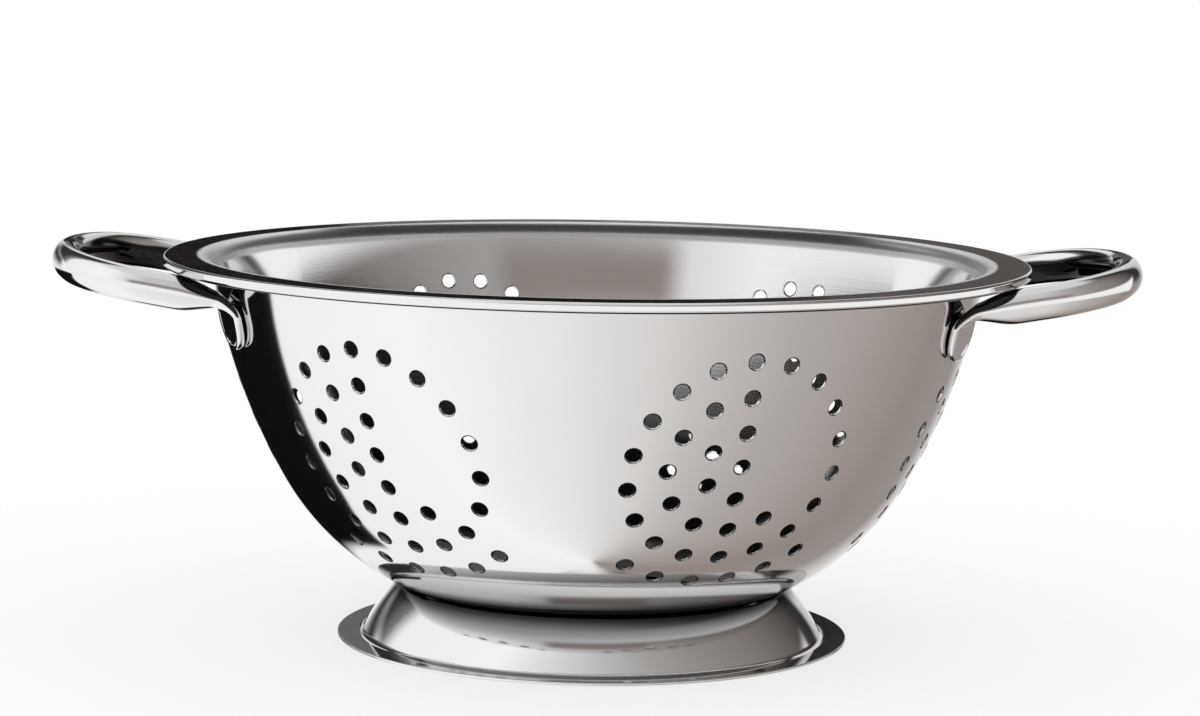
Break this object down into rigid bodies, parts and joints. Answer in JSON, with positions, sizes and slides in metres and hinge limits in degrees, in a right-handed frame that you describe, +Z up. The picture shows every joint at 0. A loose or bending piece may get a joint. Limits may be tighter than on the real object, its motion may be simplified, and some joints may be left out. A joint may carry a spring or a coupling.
{
  "type": "colander",
  "caption": "Free-standing kitchen colander: a deep perforated steel bowl with a rolled rim, on a flared foot ring, with a loop handle of flattened tube at each side",
  "frame": {"origin": "middle of the foot ring's underside, on the surface that the colander stands on", "axes": "+Z is up through the mouth of the bowl; X runs through the two handles, from left to right as seen from the front; -Y is the front"},
  "size_m": [0.3266, 0.26, 0.1183],
  "materials": {
    "bowl": "mirror-polished drawn sheet",
    "foot_ring": "mirror-polished spun sheet",
    "right_handle": "polished pressed tube",
    "left_handle": "polished pressed tube"
  },
  "bodies": {
    "root": {"bowl": "bowl", "foot_ring": "foot_ring", "right_handle": "right_handle", "left_handle": "left_handle"}
  },
  "joints": []
}
